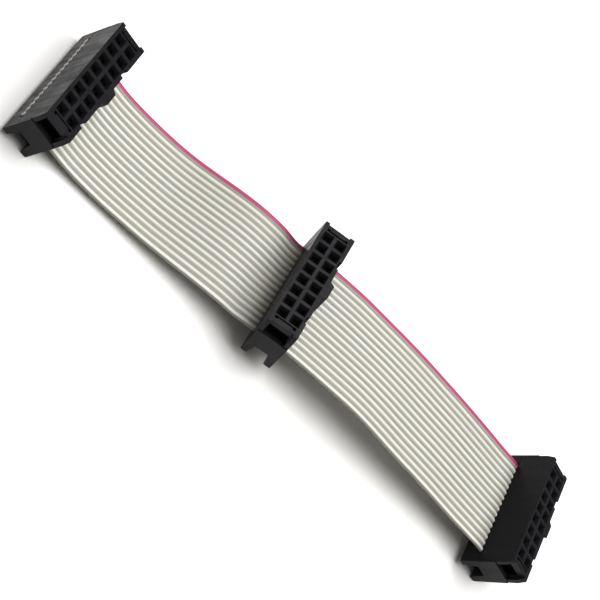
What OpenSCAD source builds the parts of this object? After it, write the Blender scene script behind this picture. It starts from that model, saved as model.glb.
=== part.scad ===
// Sixteen-way flat ribbon cable with three two-row crimp-on sockets.
// +X runs along the cable, +Y to the marked (pin 1) edge, +Z up from the surface it stands on.
// Each socket is drawn about the centre of its mating face: x to its key side, y to pin 1, z out of the face.

/* [Contacts and cable] */
// Contact positions in each row
positions = 8; // [8:1:8]
// Spacing of the contacts in a row, and of the two rows
pitch = 2.54; // [2.54:0.01:2.54]
// Thickness of the ribbon over its insulation
ribbon_t = 0.84; // [0.8:0.01:0.86]
// Side of a conductor's copper core
core_w = 0.34; // [0.3:0.01:0.36]

/* [Socket] */
// Overall length of the cover along the row
cover_l = 24.5; // [24.4:0.1:25]
// Length of the housing at its mating face
housing_l = 23.5; // [23.3:0.1:23.6]
// Length of the housing over the ears, between the legs of the cover and the mating face
ear_l = 24.2; // [24:0.1:24.3]
// Height of the chamfers that lead up to the ears
ear_chamfer_h = 1.6; // [1:0.1:2.4]
// Height from the mating face to the outside of the cover
socket_h = 10.4; // [10.2:0.1:11]
// Height of the housing from its mating face to the ribbon
housing_h = 6.85; // [6.7:0.05:7]
// Gap that the ribbon runs through, between housing and cover
gap_h = 0.9; // [0.9:0.01:1]
// Distance from the row centre to the back wall
back_x = 2.85; // [2.7:0.05:2.9]
// Distance from the row centre to the wall on the key side
key_x = 3; // [2.9:0.05:3.1]
// How far the polarising key stands out of that wall
key_out = 0.85; // [0.6:0.05:1.2]
// Depth of the key below the mating face
key_h = 5.4; // [4:0.1:6]

/* [Contact openings] */
// Width of the square lead-in at the mating face
lead_w = 1.9; // [1.7:0.02:1.94]
// Width of the square pin hole under it
pin_hole_w = 1; // [0.8:0.05:1]
// Depth of the tapered lead-in
lead_depth = 0.75; // [0.3:0.05:0.75]
// Thickness of the face over the contact
face_t = 0.9; // [0.8:0.05:1]
// Width of the square chamber that holds a contact
chamber_w = 1.7; // [1.7:0.01:1.7]
// Thickness of the contact's sheet metal
blade_t = 0.3; // [0.25:0.01:0.32]
// Width of the fork that straddles a conductor
fork_w = 1.1; // [1:0.02:1.1]

/* [How it lies] */
// Place of the left socket along the cable
left_x = -53.3; // [-54:0.1:-52]
// Lean of the left socket towards its key side
left_lean = 13.5; // [13.5:0.5:13.5]
// Place of the middle socket along the cable
middle_x = -6.8; // [-7:0.1:-6.6]
// Lean of the middle socket, away from its key side
middle_lean = -14; // [-14:0.5:-14]
// Height of the middle socket's lowest edge above the surface
middle_lift = 2.6; // [2.4:0.1:2.8]
// Place of the right socket along the cable
right_x = 54.9; // [54:0.1:56]
// Lean of the right socket towards its key side
right_lean = 18; // [18:0.5:18]

/* [Hidden] */
SIDES = ["left", "middle", "right"];
WAYS = 2 * positions;
CONTACT_NODES = [for (side = SIDES, n = [1:WAYS]) contact_name(side, n)];
HOUSING_NODES = [for (side = SIDES) str(side, "_housing")];
COVER_NODES = [for (side = SIDES) str(side, "_cover")];
RIBBON_NODES = ["ribbon_insulation", "marked_edge_insulation", "copper_conductors"];

// Cable across its width
lane_w = pitch / 2;
ribbon_w = WAYS * lane_w;
first_lane_y = (ribbon_w - lane_w) / 2;
first_pin_y = (positions - 1) * pitch / 2;

// Levels of a socket below its mating face
gap_z = -housing_h - gap_h / 2;
cover_top_z = -housing_h - gap_h;
cover_outer_z = -socket_h;
blade_slack = 0.02;
join_slack = 0.05;
past = 1;

// Key: wide at the wall, narrower at its outer face
key_root = [-1.9, 1.7];
key_tip = [-1.35, 1.25];
// Two shallow grooves up the key side, [from, to] along the row
side_grooves = [[4.6, 6.2], [-8.2, -6.9]];
groove_depth = 0.5;

// End of the housing: channel for the cover's leg, catch window, slit with a pocket at each end
channel_floor_y = 11.35;
channel_half = 2.1;
window_y = 10.15;
window_half = 1.9;
window_z = [-4.4, -1.3];
slit_y = 10.15;
slit_w = 0.25;
slit_half = 2;
slit_depth = 0.9;
pocket_w = 0.5;

// Leg of the cover: a tongue in the channel, a wider plate outside it, a catch into the window
leg_top_z = -3.4;
tongue_y = channel_floor_y + join_slack;
plate_y = housing_l / 2 + join_slack;
catch_y = 11.05;
catch_half = 1.8;
catch_z = [-4.25, -3.55];
// Ends of the cover rise beside the ribbon to meet the housing
ribbon_side_slack = 0.14;
// Tapered notch in each end of the cover, open downwards
notch_y = 10.3;
notch_top_z = -7.5;
notch_half_top = 1.2;
notch_half_bottom = 1.8;

// Contact, below the mating face: two beams, a web, and a slotted fork
web_z = [-5.9, -5];
beam_w = 0.9;
fork_root_z = -5.4;
fork_shoulder_z = -8.2;
fork_tip_z = -8.75;
fork_slot_z = -6.6;
fork_slot_w = 0.4;
fork_mouth_w = 0.6;
fork_pocket_z = -8.95;
BEAM = [[0.60, -5.2], [0.85, -5.2], [0.85, -4.2], [0.52, -2.2], [0.74, -1.2], [0.49, -1.1], [0.26, -2.2],
    [0.60, -4.2]];

// The cable's line where it is free, as [x, height], between the left and middle and the middle and right
LEFT_SPAN = [[-47, 1.9], [-43, 1.6], [-39, 1.6], [-35, 1.85], [-31, 2.3], [-27, 3.05], [-23, 3.9], [-19, 4.65],
    [-15, 5.1], [-11, 5.2]];
RIGHT_SPAN = [[2, 7.6], [6, 7.9], [10, 8.05], [14, 8.1], [18, 7.95], [22, 7.65], [26, 7.3], [30, 7],
    [34, 6.65], [38, 6.2], [42, 5.75], [46, 5.35]];
straight_lead = 1;
steps_per_point = 2;

function contact_name(side, n) = str(side, "_contact_", n < 10 ? "0" : "", n);

// Lean of a socket, and the place of its mating face's centre, as [x, height]
function lean_of(side) = side == "left" ? left_lean : side == "middle" ? middle_lean : right_lean;
function lift_of(side) = side == "middle" ? middle_lift : 0;
function x_of(side) = side == "left" ? left_x : side == "middle" ? middle_x : right_x;
function reach_below(lean) = socket_h * cos(lean) + max(key_x * sin(lean), -back_x * sin(lean));
function height_of(side) = reach_below(lean_of(side)) + lift_of(side);
// A point of a socket, [x, z] from its mating face's centre, in the cable's own frame
function at(side, x, z) =
    let (a = lean_of(side))
    [x_of(side) + x * cos(a) + z * sin(a), height_of(side) - x * sin(a) + z * cos(a)];

// The cable's whole line: straight through each socket, and past it for the straight lead
function through(side, before, after) = concat(
    before ? [at(side, -back_x - straight_lead, gap_z)] : [],
    [at(side, -back_x, gap_z), at(side, key_x, gap_z)],
    after ? [at(side, key_x + straight_lead, gap_z)] : []
);
ROUTE = concat(through("left", false, true), LEFT_SPAN, through("middle", true, true), RIGHT_SPAN,
    through("right", true, false));
last_point = len(ROUTE) - 1;

// Slope at a point of the line, from its neighbours, and the smooth line between two points
function slope_at(i) =
    let (a = ROUTE[max(i - 1, 0)], b = ROUTE[min(i + 1, last_point)])
    (b[1] - a[1]) / (b[0] - a[0]);
function between(i, t) =
    let (a = ROUTE[i], b = ROUTE[i + 1], w = b[0] - a[0])
    [a[0] + t * w, (2 * t ^ 3 - 3 * t ^ 2 + 1) * a[1] + (t ^ 3 - 2 * t ^ 2 + t) * w * slope_at(i)
        + (3 * t ^ 2 - 2 * t ^ 3) * b[1] + (t ^ 3 - t ^ 2) * w * slope_at(i + 1)];
function is_free(i) = ROUTE[i + 1][0] - ROUTE[i][0] < 5;
LINE = concat(
    [for (i = [0:last_point - 1]) let (n = is_free(i) ? steps_per_point : 1)
        for (k = [0:n - 1]) between(i, k / n)],
    [ROUTE[last_point]]
);

// Unit normal of the line at one of its stations, and a line moved along it
function normal_at(i) =
    let (a = LINE[max(i - 1, 0)], b = LINE[min(i + 1, len(LINE) - 1)],
        before = LINE[i] - a, after = b - LINE[i],
        d = (norm(before) > 0 ? before / norm(before) : [0, 0]) + (norm(after) > 0 ? after / norm(after) : [0, 0]))
    [-d[1], d[0]] / norm(d);
function moved(by) = [for (i = [0:len(LINE) - 1]) LINE[i] + by * normal_at(i)];
function turned(points) = [for (i = [len(points) - 1:-1:0]) points[i]];

// Row, place and conductor of contact n: odd numbers are in the row on the key side
function row_x(n) = (n % 2 == 1 ? 1 : -1) * pitch / 2;
function pin_y(n) = first_pin_y - floor((n - 1) / 2) * pitch;
function lane_y(n) = first_lane_y - (n - 1) * lane_w;

// Puts a socket's children where that socket lies
module lay(side) {
    translate([x_of(side), 0, height_of(side)]) rotate([0, lean_of(side), 0]) children();
}

// A box from its two corners
module span(low, high) {
    translate(low) cube(high - low);
}

// A prism along x from an outline in y and z, centred on x
module across(x, w, outline) {
    translate([x - w / 2, 0, 0]) rotate([90, 0, 90]) linear_extrude(w) polygon(outline);
}

// Square lead-in that tapers to the pin hole
module lead_in() {
    outline = [[-lead_w / 2, 0], [-pin_hole_w / 2, -lead_depth], [pin_hole_w / 2, -lead_depth], [lead_w / 2, 0],
        [lead_w / 2, past], [-lead_w / 2, past]];
    intersection() {
        across(0, lead_w, outline);
        rotate([0, 0, 90]) across(0, lead_w, outline);
    }
}

// Everything cut out of the housing for contact n
module contact_cavity(n) {
    half = chamber_w / 2;
    jog = lane_y(n) - pin_y(n);
    fork_half = fork_w / 2 + blade_slack;
    translate([row_x(n), pin_y(n), 0]) {
        lead_in();
        span([-pin_hole_w / 2, -pin_hole_w / 2, -face_t - past], [pin_hole_w / 2, pin_hole_w / 2, 0]);
        span([-half, -half, -housing_h - past], [half, half, -face_t]);
        span([-blade_t / 2 - blade_slack, min(-half, jog - fork_half), -housing_h - past],
            [blade_t / 2 + blade_slack, max(half, jog + fork_half), fork_root_z + blade_slack]);
    }
}

// What is cut out of one end of the housing, drawn at the pin 1 end
module end_cut() {
    span([-channel_half, channel_floor_y, -housing_h - past], [channel_half, ear_l / 2 + past, past]);
    span([-window_half, window_y, window_z[0]], [window_half, channel_floor_y + past, window_z[1]]);
    span([-slit_half, slit_y, -slit_depth], [slit_half, slit_y + slit_w, past]);
    for (s = [-1, 1])
        translate([s * (slit_half - pocket_w / 2), slit_y + pocket_w / 2, (past - slit_depth) / 2])
            cube([pocket_w, pocket_w, past + slit_depth], center = true);
}

// Both ends of a socket, from one
module both_ends() {
    children();
    mirror([0, 1, 0]) children();
}

module housing() {
    half = housing_l / 2;
    ear = ear_l / 2;
    seat_z = leg_top_z + join_slack;
    difference() {
        union() {
            across((key_x - back_x) / 2, key_x + back_x, [[-half, 0], [-ear, -ear_chamfer_h], [-ear, seat_z],
                [-half, seat_z], [-half, -housing_h], [half, -housing_h], [half, seat_z], [ear, seat_z],
                [ear, -ear_chamfer_h], [half, 0]]);
            translate([0, 0, -key_h]) linear_extrude(key_h)
                polygon([[key_x - past, key_root[0]], [key_x, key_root[0]], [key_x + key_out, key_tip[0]],
                    [key_x + key_out, key_tip[1]], [key_x, key_root[1]], [key_x - past, key_root[1]]]);
        }
        for (n = [1:WAYS]) contact_cavity(n);
        for (g = side_grooves)
            span([key_x - groove_depth, g[0], -housing_h - past], [key_x + past, g[1], past]);
        both_ends() end_cut();
    }
}

// One leg of the cover with its catch, drawn at the pin 1 end
module leg() {
    span([-channel_half + join_slack, tongue_y, cover_top_z], [channel_half - join_slack, plate_y, leg_top_z]);
    span([-back_x, plate_y, cover_top_z], [key_x, cover_l / 2, leg_top_z]);
    across(0, 2 * catch_half, [[tongue_y, catch_z[0]], [catch_y, catch_z[0]], [catch_y, catch_z[0] + 0.2],
        [tongue_y, catch_z[1]], [plate_y, catch_z[1]], [plate_y, catch_z[0]]]);
}

module cover() {
    block_y = ribbon_w / 2 + ribbon_side_slack;
    difference() {
        union() {
            span([-back_x, -cover_l / 2, cover_outer_z], [key_x, cover_l / 2, cover_top_z]);
            both_ends() {
                span([-back_x, block_y, cover_top_z], [key_x, cover_l / 2, -housing_h - join_slack]);
                leg();
            }
        }
        for (n = [1:WAYS])
            span([row_x(n) - blade_t, lane_y(n) - fork_w / 2 - join_slack, fork_pocket_z],
                [row_x(n) + blade_t, lane_y(n) + fork_w / 2 + join_slack, cover_top_z + past / 2]);
        both_ends() translate([0, notch_y, 0]) rotate([90, 0, 180]) linear_extrude(past + cover_l / 2 - notch_y)
            polygon([[-notch_half_top, notch_top_z], [notch_half_top, notch_top_z],
                [notch_half_bottom, cover_outer_z - past / 2], [-notch_half_bottom, cover_outer_z - past / 2]]);
    }
}

// Contact n: a beam on each side of the pin, a web, and the fork that cuts into its conductor
module contact(n) {
    half = chamber_w / 2;
    jog = lane_y(n) - pin_y(n);
    translate([row_x(n), pin_y(n), 0]) {
        across(0, beam_w, BEAM);
        across(0, beam_w, [for (p = BEAM) [-p[0], p[1]]]);
        across(0, blade_t, [[-half, web_z[0]], [half, web_z[0]], [half, web_z[1]], [-half, web_z[1]]]);
        translate([0, jog, 0]) across(0, blade_t, [
            [-fork_w / 2, fork_root_z], [-fork_w / 2, fork_shoulder_z], [-fork_mouth_w / 2, fork_tip_z],
            [-fork_slot_w / 2, fork_shoulder_z], [-fork_slot_w / 2, fork_slot_z], [fork_slot_w / 2, fork_slot_z],
            [fork_slot_w / 2, fork_shoulder_z], [fork_mouth_w / 2, fork_tip_z], [fork_w / 2, fork_shoulder_z],
            [fork_w / 2, fork_root_z]]);
    }
}

// A strip of the cable of thickness t, from y_low to y_high across its width
module strip(t, y_low, y_high) {
    translate([0, y_high, 0]) rotate([90, 0, 0]) linear_extrude(y_high - y_low)
        polygon(concat(moved(-t / 2), turned(moved(t / 2))));
}

// Copper core n
module core(n) {
    strip(core_w, lane_y(n) - core_w / 2, lane_y(n) + core_w / 2);
}

// Insulation over conductors first to last, with the cores' channels and the slits that the forks cut
module insulation(first, last) {
    difference() {
        strip(ribbon_t, lane_y(last) - lane_w / 2, lane_y(first) + lane_w / 2);
        for (n = [first:last]) {
            core(n);
            for (side = SIDES)
                lay(side) translate([row_x(n), lane_y(n), gap_z])
                    cube([blade_t + 2 * blade_slack, fork_w + 2 * blade_slack, 2 * gap_h], center = true);
        }
    }
}

module socket_housing(side) { color([0.12, 0.12, 0.13]) lay(side) housing(); }
module socket_cover(side) { color([0.1, 0.1, 0.11]) lay(side) cover(); }
module socket_contact(side, n) { color("gold") lay(side) contact(n); }
module ribbon_insulation() { color([0.85, 0.84, 0.78]) insulation(2, WAYS); }
module marked_edge_insulation() { color([0.85, 0.2, 0.45]) insulation(1, 1); }
module copper_conductors() { color([0.8, 0.5, 0.3]) for (n = [1:WAYS]) core(n); }

for (side = SIDES) {
    socket_housing(side);
    socket_cover(side);
    for (n = [1:WAYS])
        socket_contact(side, n);
}
ribbon_insulation();
marked_edge_insulation();
copper_conductors();
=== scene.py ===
"""Looks for a sixteen-way ribbon cable with three crimp-on sockets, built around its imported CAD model.

+X runs along the cable, +Y to its marked edge and +Z up from the surface. Named sizes are in mm.
"""

import math
import random

import bmesh
import bpy
from mathutils import Matrix, Vector


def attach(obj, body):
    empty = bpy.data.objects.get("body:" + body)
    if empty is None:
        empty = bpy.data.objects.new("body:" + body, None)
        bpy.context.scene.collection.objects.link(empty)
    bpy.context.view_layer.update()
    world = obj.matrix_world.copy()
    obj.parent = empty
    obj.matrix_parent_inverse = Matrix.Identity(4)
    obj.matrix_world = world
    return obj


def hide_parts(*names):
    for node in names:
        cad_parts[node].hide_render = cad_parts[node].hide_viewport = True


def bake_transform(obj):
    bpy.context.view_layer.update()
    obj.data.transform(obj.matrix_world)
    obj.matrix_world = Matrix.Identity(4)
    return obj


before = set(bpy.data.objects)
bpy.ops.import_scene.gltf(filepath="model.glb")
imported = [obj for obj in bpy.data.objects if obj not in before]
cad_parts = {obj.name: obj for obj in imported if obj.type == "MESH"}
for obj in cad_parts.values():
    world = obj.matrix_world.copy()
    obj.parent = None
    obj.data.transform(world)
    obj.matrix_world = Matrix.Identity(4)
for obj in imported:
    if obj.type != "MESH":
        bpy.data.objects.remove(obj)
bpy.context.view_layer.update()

MM = 0.001
SCENE = bpy.context.scene

# ---------------------------------------------------------------- camera, as solved from the photo, in metres
LENS_MM = 86.7
SENSOR_MM = 36.0
CAMERA_PLACE = Vector((-0.07551, -0.14428, 0.18530))
CAMERA_FORWARD = Vector((0.297, 0.601, -0.742)).normalized()
CAMERA_RIGHT = Vector((0.6816, 0.4104, 0.6056))


def make_camera():
    data = bpy.data.cameras.new("camera")
    data.lens = LENS_MM
    data.sensor_width = SENSOR_MM
    data.clip_start = 0.01
    data.clip_end = 10.0
    camera = bpy.data.objects.new("camera", data)
    SCENE.collection.objects.link(camera)
    up = CAMERA_RIGHT.cross(CAMERA_FORWARD).normalized()
    right = CAMERA_FORWARD.cross(up).normalized()
    turn = Matrix((right, up, -CAMERA_FORWARD)).transposed()
    camera.matrix_world = Matrix.Translation(CAMERA_PLACE) @ turn.to_4x4()
    SCENE.camera = camera


# ---------------------------------------------------------------- sizes, as in the CAD source
LANES = 16
LANE_W = 1.27
FIRST_LANE_Y = 9.525
# A socket, about the centre of its mating face: x to its key side, y to pin 1, z out of the face
BACK_X = 2.85
KEY_X = 3.0
HOUSING_END_Y = 11.75
HOUSING_H = 6.85
SOCKET_H = 10.4
# Level of the cable's middle, in the gap between housing and cover
GAP_Z = -7.3
# Place along the cable, height of the mating face's centre, lean in degrees
SOCKETS = {
    "left": (-53.3, 10.813, 13.5),
    "middle": (-6.8, 13.3806, -14.0),
    "right": (54.9, 10.818, 18.0),
}

# ---------------------------------------------------------------- the cable's line
# Points (place, height) of the two free stretches, as in the CAD source
LEFT_SPAN = [
    (-47, 1.9), (-43, 1.6), (-39, 1.6), (-35, 1.85), (-31, 2.3), (-27, 3.05), (-23, 3.9), (-19, 4.65),
    (-15, 5.1), (-11, 5.2),
]
RIGHT_SPAN = [
    (2, 7.6), (6, 7.9), (10, 8.05), (14, 8.1), (18, 7.95), (22, 7.65), (26, 7.3), (30, 7),
    (34, 6.65), (38, 6.2), (42, 5.75), (46, 5.35),
]
# How far the marked edge stands above the middle of the cable, and the other edge below it, by place
LEFT_TWIST = [(-36, 0), (-18, 0.68), (-13, 0.58), (-8.8, 0)]
RIGHT_TWIST = [(-1.1, 0), (5, 0), (13, -0.2), (26, 0.1), (40, 0.12), (46.5, 0)]
# Route points further apart than this are the two sides of a socket, and the line is straight between them
STRAIGHT_OVER = 5
# The route keeps a socket's direction for this far past its walls
LEAD_OUT = 1
STATION_MM = 0.6
# The cut ends stand out of the end sockets by this much
CUT_PROUD = 0.08
LEFT_CUT_X = -BACK_X - CUT_PROUD
RIGHT_CUT_X = KEY_X + CUT_PROUD


def at(side, x, z):
    """Place and height of a point that is given in a socket's own frame."""
    place, height, lean = SOCKETS[side]
    a = math.radians(lean)
    return (place + x * math.cos(a) + z * math.sin(a), height - x * math.sin(a) + z * math.cos(a))


ROUTE = (
    [at("left", x, GAP_Z) for x in (-BACK_X, KEY_X, KEY_X + LEAD_OUT)]
    + LEFT_SPAN
    + [at("middle", x, GAP_Z) for x in (-BACK_X - LEAD_OUT, -BACK_X, KEY_X, KEY_X + LEAD_OUT)]
    + RIGHT_SPAN
    + [at("right", x, GAP_Z) for x in (-BACK_X - LEAD_OUT, -BACK_X, KEY_X)]
)


def slope_at(i):
    """Slope of the line at a route point, from the points before and after it."""
    before, after = ROUTE[max(i - 1, 0)], ROUTE[min(i + 1, len(ROUTE) - 1)]
    return (after[1] - before[1]) / (after[0] - before[0])


def height_at(x):
    """Height of the cable's middle at a place along it: straight in the sockets, smooth between them."""
    i = max(k for k in range(len(ROUTE) - 1) if k == 0 or ROUTE[k][0] <= x)
    (start_x, start_z), (end_x, end_z) = ROUTE[i], ROUTE[i + 1]
    step = end_x - start_x
    t = (x - start_x) / step
    if step > STRAIGHT_OVER:
        return start_z + t * (end_z - start_z)
    return (
        (2 * t**3 - 3 * t**2 + 1) * start_z
        + (t**3 - 2 * t**2 + t) * step * slope_at(i)
        + (3 * t**2 - 2 * t**3) * end_z
        + (t**3 - t**2) * step * slope_at(i + 1)
    )


def eased(points, x):
    """A value at x from a short list of (place, value), smooth between them."""
    if x <= points[0][0]:
        return points[0][1]
    for (x0, v0), (x1, v1) in zip(points, points[1:]):
        if x <= x1:
            t = (x - x0) / (x1 - x0)
            return v0 + (v1 - v0) * t * t * (3 - 2 * t)
    return points[-1][1]


def stations(start, end):
    """Points (place, height) of the cable's line from one place to another, and the unit normals there."""
    count = max(2, round((end - start) / STATION_MM))
    places = [start + (end - start) * k / count for k in range(count + 1)]
    line = [Vector((x, height_at(x))) for x in places]
    normals = []
    for i in range(count + 1):
        along = line[min(i + 1, count)] - line[max(i - 1, 0)]
        normals.append(Vector((-along.y, along.x)).normalized())
    return line, normals


# ---------------------------------------------------------------- the cable's skin
LANE_R = 0.412
WEB_HALF = 0.13
# From the centre of an outermost lane to the cable's edge
EDGE_HALF_W = 0.54
LANE_STEPS = 14
# The two faces of the ribbon meet where half the thickness is less than this
CLOSED = 1e-6
# Edges that turn by more than this are drawn sharp: those around the cut ends and along a band's sides
SEAM = math.radians(60)
# The cut ends carry no mark and take the colour of a lane's side, here, darker than the skin through the
# painted groove shade
CUT_SHADE_Y = FIRST_LANE_Y - 2.31 * LANE_W


def lane_y(n):
    return FIRST_LANE_Y - (n - 1) * LANE_W


def half_thickness(off, at_edge):
    """Half the cable's thickness at a distance from a lane's centre. The cable's edges close in a round."""
    if at_edge:
        return LANE_R * math.sqrt(max(0.0, 1 - (off / EDGE_HALF_W) ** 2))
    round_part = math.sqrt(max(0.0, LANE_R**2 - off**2))
    return (round_part**3 + WEB_HALF**3) ** (1 / 3)


def section(first, last):
    """Points (y, half thickness) across the lanes first to last, from the marked edge down."""
    points = []
    for n in range(first, last + 1):
        for k in range(0 if n == first else 1, LANE_STEPS + 1):
            share = math.sin(math.pi * (k / LANE_STEPS - 0.5))
            at_edge = (n == 1 and share < 0) or (n == LANES and share > 0)
            off = share * (EDGE_HALF_W if at_edge else LANE_W / 2)
            points.append((lane_y(n) - off, half_thickness(off, at_edge)))
    return points


def object_of(name, bm):
    mesh = bpy.data.meshes.new(name)
    bm.to_mesh(mesh)
    bm.free()
    obj = bpy.data.objects.new(name, mesh)
    SCENE.collection.objects.link(obj)
    return obj


def add_ring(bm, point, normal, lift, across):
    """Vertices around the ribbon at one station, as a top and a bottom row that share a vertex at an edge."""
    top, bottom = [], []
    for y, half in across:
        for row, reach in ((top, half), (bottom, -half)):
            if row is bottom and half < CLOSED:
                row.append(top[-1])
                continue
            skin = point + normal * reach
            row.append(bm.verts.new(Vector((skin.x, y, skin.y + lift * y / FIRST_LANE_Y)) * MM))
    return top, bottom


def add_cut(bm, top, bottom, flip):
    """Faces over a cut end of the ribbon, from one edge to the other."""
    faces = []
    for k in range(len(top) - 1):
        corners = list(dict.fromkeys((top[k], top[k + 1], bottom[k + 1], bottom[k])))
        faces.append(bm.faces.new(corners[::-1] if flip else corners))
    return faces


def make_ribbon(name, start, end, first, last, twist):
    """Lanes first to last between two places, and the path and length of their middle, in metres.

    The UV map is in mm, along the cable and across it.
    """
    line, normals = stations(start, end)
    across = section(first, last)
    bm = bmesh.new()
    uv = bm.loops.layers.uv.new("UVMap")
    uv_of = {}
    rings = []
    run = 0.0
    for i, (point, normal) in enumerate(zip(line, normals)):
        run += (point - line[i - 1]).length if i else 0.0
        rings.append(add_ring(bm, point, normal, eased(twist, point.x), across))
        for row in rings[-1]:
            uv_of.update((vert, (run, y)) for vert, (y, _) in zip(row, across))
    loops = [top + [vert for vert in bottom[::-1] if vert not in top] for top, bottom in rings]
    count = len(loops[0])
    for a, b in zip(loops, loops[1:]):
        for k in range(count):
            bm.faces.new((a[k], a[(k + 1) % count], b[(k + 1) % count], b[k]))
    cuts = set(add_cut(bm, *rings[0], flip=True) + add_cut(bm, *rings[-1], flip=False))
    bmesh.ops.recalc_face_normals(bm, faces=bm.faces)
    for face in bm.faces:
        face.smooth = True
        for corner in face.loops:
            along, y = uv_of[corner.vert]
            corner[uv].uv = (along, CUT_SHADE_Y if face in cuts else y)
    for edge in bm.edges:
        edge.smooth = edge.calc_face_angle(0.0) < SEAM
    path = [(p.x * MM, lane_y((first + last) / 2) * MM, p.y * MM) for p in line]
    length = sum(math.dist(a, b) for a, b in zip(path, path[1:]))
    return object_of(name, bm), path, length


# ---------------------------------------------------------------- materials
class Nodes:
    """A material's node tree, with short calls to add and join nodes."""

    def __init__(self, name, roughness, metallic=0.0):
        self.material = bpy.data.materials.new(name)
        self.material.use_nodes = True
        self.tree = self.material.node_tree
        self.shader = self.tree.nodes["Principled BSDF"]
        self.set(Roughness=roughness, Metallic=metallic)

    def set(self, **values):
        """Plain values on the shader's own sockets."""
        for name, value in values.items():
            self.shader.inputs[name.replace("_", " ")].default_value = value

    def join(self, output, socket):
        self.tree.links.new(output, self.shader.inputs[socket])

    def feed(self, socket, value):
        """Gives a node's socket an output, a number or an RGB colour."""
        if hasattr(value, "is_output"):
            self.tree.links.new(value, socket)
        elif socket.type == "RGBA":
            socket.default_value = (*value, 1.0)
        else:
            socket.default_value = value

    def add(self, kind, links=(), **values):
        """A node; values set its sockets or properties, and links are (socket, output) pairs."""
        node = self.tree.nodes.new("ShaderNode" + kind)
        for name, value in values.items():
            if name in node.bl_rna.properties:
                setattr(node, name, value)
        for name, value in values.items():
            if name not in node.bl_rna.properties:
                node.inputs[name].default_value = value
        for socket, output in links:
            self.tree.links.new(output, node.inputs[socket])
        return node

    def mapped(self, coordinate, **change):
        return self.add("Mapping", [("Vector", coordinate)], **change).outputs["Vector"]

    def noise(self, coordinate, scale, detail, roughness=0.5):
        links = [("Vector", coordinate)]
        return self.add("TexNoise", links, Scale=scale, Detail=detail, Roughness=roughness).outputs["Fac"]

    def remap(self, value, low, high, to_low=0.0, to_high=1.0):
        node = self.add("MapRange", [("Value", value)])
        for name, number in (("From Min", low), ("From Max", high), ("To Min", to_low), ("To Max", to_high)):
            node.inputs[name].default_value = number
        return node.outputs["Result"]

    def mix(self, factor, a, b):
        """A colour between a and b; factor, a and b are outputs or plain values."""
        node = self.add("Mix", data_type="RGBA")
        colours = [s for s in node.inputs if s.type == "RGBA"]
        for socket, value in ((node.inputs["Factor"], factor), (colours[0], a), (colours[1], b)):
            self.feed(socket, value)
        return next(s for s in node.outputs if s.type == "RGBA")

    def math(self, operation, a, b=0.0):
        node = self.add("Math", operation=operation)
        for socket, value in zip(node.inputs, (a, b)):
            self.feed(socket, value)
        return node.outputs[0]

    def bump(self, height, strength, distance, under=None):
        """Normals for a height; distance is in metres, and under is a bump that this one lies on."""
        links = [("Height", height)]
        if under is not None:
            links.append(("Normal", under))
        return self.add("Bump", links, Strength=strength, Distance=distance).outputs["Normal"]


WORN_BLACK = (0.045, 0.045, 0.052)
DUST = (0.32, 0.30, 0.27)


def black_plastic(name, colour, roughness, seed):
    """Satin moulded polyester: fine spark-eroded texture, cloudy gloss, worn bright edges, a little dust.

    The seed moves the texture, so that two plastics don't share their clouds and dust.
    """
    m = Nodes(name, roughness)
    place = m.add("TexCoord").outputs["Object"]
    place = m.mapped(place, Location=(seed * 0.013, seed * 0.007, seed * 0.017))
    grain = m.noise(place, scale=9000.0, detail=3.0, roughness=0.6)
    cloud = m.noise(place, scale=260.0, detail=3.0, roughness=0.55)
    long_place = m.mapped(place, Scale=(0.7, 1.0, 0.07))
    streak = m.noise(long_place, scale=850.0, detail=4.0, roughness=0.65)
    dust = m.remap(m.noise(place, scale=3200.0, detail=1.0), 0.74, 0.80)
    worn = m.add("Attribute", attribute_name="worn").outputs["Fac"]
    shade = m.mix(m.remap(cloud, 0.3, 0.7), colour, tuple(1.35 * c for c in colour))
    shade = m.mix(m.math("MULTIPLY", worn, 0.4), shade, WORN_BLACK)
    shade = m.mix(m.math("MULTIPLY", dust, 0.10), shade, DUST)
    m.join(shade, "Base Color")
    gloss = m.remap(cloud, 0.3, 0.7, roughness - 0.05, roughness + 0.06)
    gloss = m.math("ADD", gloss, m.remap(streak, 0.35, 0.65, -0.09, 0.09))
    gloss = m.math("SUBTRACT", gloss, m.math("MULTIPLY", worn, 0.08))
    m.join(m.math("ADD", gloss, m.math("MULTIPLY", dust, 0.25)), "Roughness")
    ripple = m.bump(streak, strength=0.2, distance=0.00004)
    m.join(m.bump(grain, strength=0.35, distance=0.000012, under=ripple), "Normal")
    m.set(IOR=1.52, Specular_IOR_Level=0.22)
    return m.material


IVORY = (0.735, 0.735, 0.685)
# The webs between lanes: partly the thin vinyl's own darker tone, partly painted shade of the grooves
IVORY_WEB_SHADE = (0.240, 0.240, 0.212)
PINK = (0.50, 0.045, 0.18)
# What the ivory goes towards: from lane to lane, in broad clouds, and where it was handled
LANE_TINT = (0.50, 0.47, 0.40)
CLOUD_TINT = (0.45, 0.42, 0.36)
SMEAR_TINT = (0.25, 0.22, 0.18)
# Across the cable, where the printed mark of the first lane fades in
MARK_FADE = (FIRST_LANE_Y - 0.32, FIRST_LANE_Y - 0.18)


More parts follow.
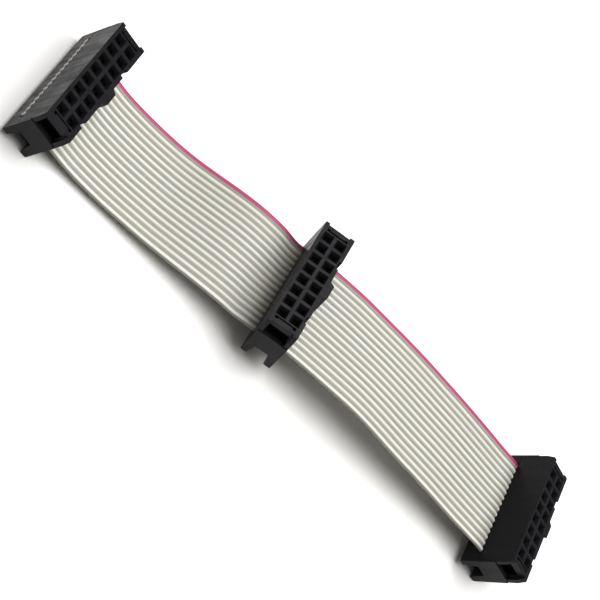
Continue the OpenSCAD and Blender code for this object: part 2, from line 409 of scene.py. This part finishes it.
def vinyl(name, seed, mark=None):
    """Extruded ivory vinyl, on the ribbon's UV map in mm.

    Each lane has a shade of its own. Its webs are darker, partly their own tone and partly painted groove
    shade, with fine drawn lines along it and slight handling marks.
    A mark is the colour of the print along the first lane's outer side.
    """
    m = Nodes(name, 0.4)
    uv = m.add("UVMap").outputs["UV"]
    parts = m.add("SeparateXYZ", [("Vector", uv)])
    along, across = parts.outputs["X"], parts.outputs["Y"]
    lane = m.math("DIVIDE", m.math("ADD", across, FIRST_LANE_Y + LANE_W / 2), LANE_W)
    lane_seed = m.math("ADD", m.math("FLOOR", lane), seed + 0.5)
    own = m.add("TexWhiteNoise", [("W", lane_seed)], noise_dimensions="1D").outputs["Value"]
    wave = m.math("COSINE", m.math("MULTIPLY", m.math("FRACT", lane), 2 * math.pi))
    # Painted groove shade together with the webs' own darker tone, strongest where two lanes join
    web_shade = m.remap(wave, -0.35, 0.6)
    long_x, fine_y = m.math("MULTIPLY", along, 0.12), m.math("MULTIPLY", across, 9.0)
    drawn_place = m.add("CombineXYZ", [("X", long_x), ("Y", fine_y)]).outputs["Vector"]
    drawn = m.noise(drawn_place, scale=1.0, detail=3.0, roughness=0.6)
    cloud = m.noise(uv, scale=0.22, detail=3.0)
    smear = m.remap(m.noise(uv, scale=0.9, detail=4.0, roughness=0.65), 0.56, 0.74)
    shade = m.mix(m.math("MULTIPLY", web_shade, 0.85), IVORY, IVORY_WEB_SHADE)
    shade = m.mix(m.remap(own, 0.0, 1.0, 0.0, 0.10), shade, LANE_TINT)
    shade = m.mix(m.remap(cloud, 0.35, 0.65, 0.0, 0.07), shade, CLOUD_TINT)
    shade = m.mix(m.math("MULTIPLY", smear, 0.07), shade, SMEAR_TINT)
    if mark:
        ragged = m.math("ADD", across, m.math("MULTIPLY", drawn, 0.1))
        shade = m.mix(m.math("MULTIPLY", m.remap(ragged, *MARK_FADE), 0.97), shade, mark)
    m.join(shade, "Base Color")
    gloss = m.remap(drawn, 0.3, 0.7, 0.34, 0.46)
    m.join(m.math("ADD", gloss, m.math("MULTIPLY", smear, 0.1)), "Roughness")
    m.join(m.bump(drawn, strength=0.25, distance=0.00003), "Normal")
    m.set(IOR=1.53, Subsurface_Weight=0.15, Subsurface_Radius=(0.9, 0.75, 0.55), Subsurface_Scale=0.0005)
    return m.material


def metal(name, colour, tarnish, roughness, scale):
    """Plated or drawn metal with rolling lines and a little tarnish."""
    m = Nodes(name, roughness, metallic=1.0)
    place = m.add("TexCoord").outputs["Object"]
    lines = m.noise(m.mapped(place, Scale=(1.0, 1.0, 0.12)), scale, detail=2.0, roughness=0.6)
    cloud = m.noise(place, scale / 12, detail=3.0, roughness=0.6)
    m.join(m.mix(m.remap(cloud, 0.45, 0.75, 0.0, 0.6), colour, tarnish), "Base Color")
    m.join(m.remap(lines, 0.3, 0.7, roughness - 0.06, roughness + 0.1), "Roughness")
    m.join(m.bump(lines, strength=0.2, distance=0.00001), "Normal")
    return m.material


def paper():
    """White studio sweep: matt, with the faintest unevenness."""
    m = Nodes("studio_paper", 0.6)
    place = m.add("TexCoord").outputs["Object"]
    cloud = m.remap(m.noise(place, scale=6.0, detail=2.0), 0.3, 0.7)
    m.join(m.mix(cloud, (0.93, 0.93, 0.93), (0.95, 0.95, 0.95)), "Base Color")
    m.set(Specular_IOR_Level=0.2)
    return m.material


# ---------------------------------------------------------------- sockets
# Size of the rounding on a socket's outer edges
EDGE_ROUND = 0.09
# Edges that turn by more than SHARP are rounded, and those that still turn by more than CRISP are drawn sharp
SHARP = math.radians(20)
CRISP = math.radians(52)
# Facets that turn by less than this are joined, and vertices nearer than this, in metres, are one
FLAT = math.radians(0.5)
SAME_POINT = 1e-6
# A point this near an outer face is on it
ON_FACE = 0.02
# The openings of the contacts end before this, so a housing's edges past it are all outside
PAST_OPENINGS_Y = 10.0


def local_frame(side):
    """Where a socket's mating face lies, in metres."""
    place, height, lean = SOCKETS[side]
    return Matrix.Translation(Vector((place, 0, height)) * MM) @ Matrix.Rotation(math.radians(lean), 4, "Y")


def on_skin(p):
    """True where a point in a socket's own frame lies on its outside and not in a cavity."""
    on_side = p.x < -BACK_X + ON_FACE or p.x > KEY_X - ON_FACE
    past_openings = abs(p.y) > PAST_OPENINGS_Y and p.z > -HOUSING_H - ON_FACE
    on_end = abs(p.y) > HOUSING_END_Y - ON_FACE or past_openings
    on_face = p.z > -ON_FACE or p.z < -SOCKET_H + ON_FACE
    return on_side or on_end or on_face


def outer_edges(bm, side):
    """The sharp edges of a housing or cover that lie on its outside."""
    back = local_frame(side).inverted()
    chosen = []
    for edge in bm.edges:
        if len(edge.link_faces) != 2 or edge.calc_face_angle(0.0) < SHARP:
            continue
        a, b = (back @ vert.co / MM for vert in edge.verts)
        if on_skin(a) and on_skin(b) and on_skin((a + b) / 2):
            chosen.append(edge)
    return chosen


def moulded(side, kind, material):
    """A socket's housing or cover: its CAD solid with the outer edges rounded, which stands for the solid."""
    node = f"{side}_{kind}"
    bm = bmesh.new()
    bm.from_mesh(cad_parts[node].data)
    bmesh.ops.remove_doubles(bm, verts=bm.verts, dist=SAME_POINT)
    bmesh.ops.dissolve_limit(bm, angle_limit=FLAT, verts=bm.verts, edges=bm.edges)
    chosen = outer_edges(bm, side)
    worn = bm.verts.layers.float.new("worn")
    made = bmesh.ops.bevel(
        bm, geom=chosen, offset=EDGE_ROUND * MM, segments=2, profile=0.6, affect="EDGES", clamp_overlap=True
    )
    for vert in made["verts"]:
        vert[worn] = 1.0
    bmesh.ops.recalc_face_normals(bm, faces=bm.faces)
    for face in bm.faces:
        face.smooth = True
    for edge in bm.edges:
        edge.smooth = edge.calc_face_angle(math.pi) < CRISP
    piece = object_of(node + "_moulded", bm)
    weighted = piece.modifiers.new("flat_faces", "WEIGHTED_NORMAL")
    weighted.keep_sharp = True
    piece.data.materials.append(material)
    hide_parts(node)
    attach(piece, side + "_socket")


# ---------------------------------------------------------------- cut copper ends
STRAND_R = 0.062
STRAND_SIDES = 12
# Strands that touch would be two radii apart
STRAND_PITCH = 2.02 * STRAND_R
# How far a strand goes into the insulation, and how far it can stand out
STRAND_IN = 0.25
STRAND_OUT = 0.03
# A strand narrows from this share of the length that stands out, to this share of its radius
TIP_START = 0.5
TIP_SHARE = 0.7
STRAND_SEED = 7


def strand_centres(turn):
    """Places (y, z) of a conductor's strands about its middle: one, and six around it."""
    angles = [turn + k * math.pi / 3 for k in range(6)]
    return [(0.0, 0.0)] + [(STRAND_PITCH * math.cos(a), STRAND_PITCH * math.sin(a)) for a in angles]


def add_strand(bm, socket_frame, x, y, z, out, proud):
    """A strand about the line y, z in a socket's own frame, proud of x in the direction out."""
    rings = []
    for along, r in ((-STRAND_IN, STRAND_R), (proud * TIP_START, STRAND_R), (proud, STRAND_R * TIP_SHARE)):
        ring = []
        for k in range(STRAND_SIDES):
            a = 2 * math.pi * k / STRAND_SIDES
            point = Vector((x + out * along, y + r * math.cos(a), z + r * math.sin(a)))
            ring.append(bm.verts.new(socket_frame @ (point * MM)))
        rings.append(ring)
    for a, b in zip(rings, rings[1:]):
        for k in range(STRAND_SIDES):
            bm.faces.new((a[k], a[(k + 1) % STRAND_SIDES], b[(k + 1) % STRAND_SIDES], b[k]))
    bm.faces.new(rings[0][::-1])
    bm.faces.new(rings[-1])


def make_strands(name, side, x, out):
    """Seven strands for each lane, cut almost flush with the cable's end at x in the socket's own frame."""
    socket_frame = local_frame(side)
    bm = bmesh.new()
    spread = random.Random(STRAND_SEED)
    for n in range(1, LANES + 1):
        for y, z in strand_centres(spread.uniform(0, math.pi)):
            proud = STRAND_OUT * spread.uniform(0.4, 1.0)
            add_strand(bm, socket_frame, x, lane_y(n) + y, GAP_Z + z, out, proud)
    bmesh.ops.recalc_face_normals(bm, faces=bm.faces)
    return object_of(name, bm)


# ---------------------------------------------------------------- build
make_camera()

ivory = vinyl("ivory_vinyl", 3)
pink = vinyl("pink_edge_vinyl", 9, PINK)
housing_black = black_plastic("black_housing", (0.0062, 0.0062, 0.0078), 0.42, 1)
cover_black = black_plastic("black_cover", (0.0055, 0.0055, 0.0068), 0.40, 2)
bronze = metal("dull_bronze", (0.31, 0.24, 0.15), (0.16, 0.115, 0.07), 0.42, 6000.0)
tinned = metal("tinned_copper", (0.60, 0.53, 0.45), (0.36, 0.27, 0.20), 0.34, 9000.0)

# The two halves of the cable meet in the middle socket
left_end = at("left", LEFT_CUT_X, GAP_Z)[0]
meet = at("middle", 0.0, GAP_Z)[0]
right_end = at("right", RIGHT_CUT_X, GAP_Z)[0]
# Side, its two ends, its twist, the bodies that it joins, and the two places that it bends between
SPANS = [
    ("left", left_end, meet, LEFT_TWIST, ("left_socket", "middle_socket"), (-48.0, -12.0)),
    ("right", meet, right_end, RIGHT_TWIST, ("middle_socket", "right_socket"), (1.0, 47.0)),
]
# The cable in bands of lanes, from the marked edge
BANDS = [("marked_edge", 1, 1), ("ribbon_02_06", 2, 6), ("ribbon_07_11", 7, 11), ("ribbon_12_16", 12, 16)]
for side, start, end, twist, bodies, bend in SPANS:
    for name, first, last in BANDS:
        marked = first == 1
        piece, path, length = make_ribbon(f"{name}_{side}_span", start, end, first, last, twist)
        piece.data.materials.append(pink if marked else ivory)
        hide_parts("marked_edge_insulation" if marked else "ribbon_insulation")
        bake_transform(piece)

for side, x, out in (("left", LEFT_CUT_X, -1), ("right", RIGHT_CUT_X, 1)):
    strands = make_strands(f"cut_strands_{side}", side, x, out)
    strands.data.materials.append(tinned)
    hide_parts("copper_conductors")
    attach(strands, side + "_socket")

for side in SOCKETS:
    moulded(side, "housing", housing_black)
    moulded(side, "cover", cover_black)
    for n in range(1, LANES + 1):
        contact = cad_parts[f"{side}_contact_{n:02d}"]
        contact.data.materials.clear()
        contact.data.materials.append(bronze)


# ---------------------------------------------------------------- studio
def make_floor():
    bm = bmesh.new()
    bmesh.ops.create_grid(bm, x_segments=8, y_segments=8, size=1.5)
    floor = object_of("studio_floor", bm)
    floor.data.materials.append(paper())


def make_light(name, direction, spread, strength, colour):
    """A distant lamp that shines along a direction; spread is how wide it looks, in degrees."""
    data = bpy.data.lights.new(name, "SUN")
    data.angle = math.radians(spread)
    data.energy = strength
    data.color = colour
    light = bpy.data.objects.new(name, data)
    SCENE.collection.objects.link(light)
    light.rotation_mode = "QUATERNION"
    light.rotation_quaternion = Vector(direction).to_track_quat("-Z", "Y")


def make_air(colour, strength):
    """Even light from all round, which fills the shadows."""
    world = bpy.data.worlds.new("studio_air")
    world.use_nodes = True
    background = world.node_tree.nodes["Background"]
    background.inputs["Color"].default_value = (*colour, 1.0)
    background.inputs["Strength"].default_value = strength
    SCENE.world = world


make_floor()
make_light("key", direction=(-0.25, -0.04, -1.0), spread=60.0, strength=3.3, colour=(1.0, 1.0, 0.995))
make_light("back", direction=(0.085, -0.61, -0.78), spread=25.0, strength=0.45, colour=(1.0, 1.0, 1.0))
make_air(colour=(1.0, 0.94, 0.87), strength=0.20)
# Plain colours, with the middle tones a little darker, as in the photo
SCENE.view_settings.view_transform = "Standard"
SCENE.view_settings.look = "None"
SCENE.view_settings.gamma = 0.78
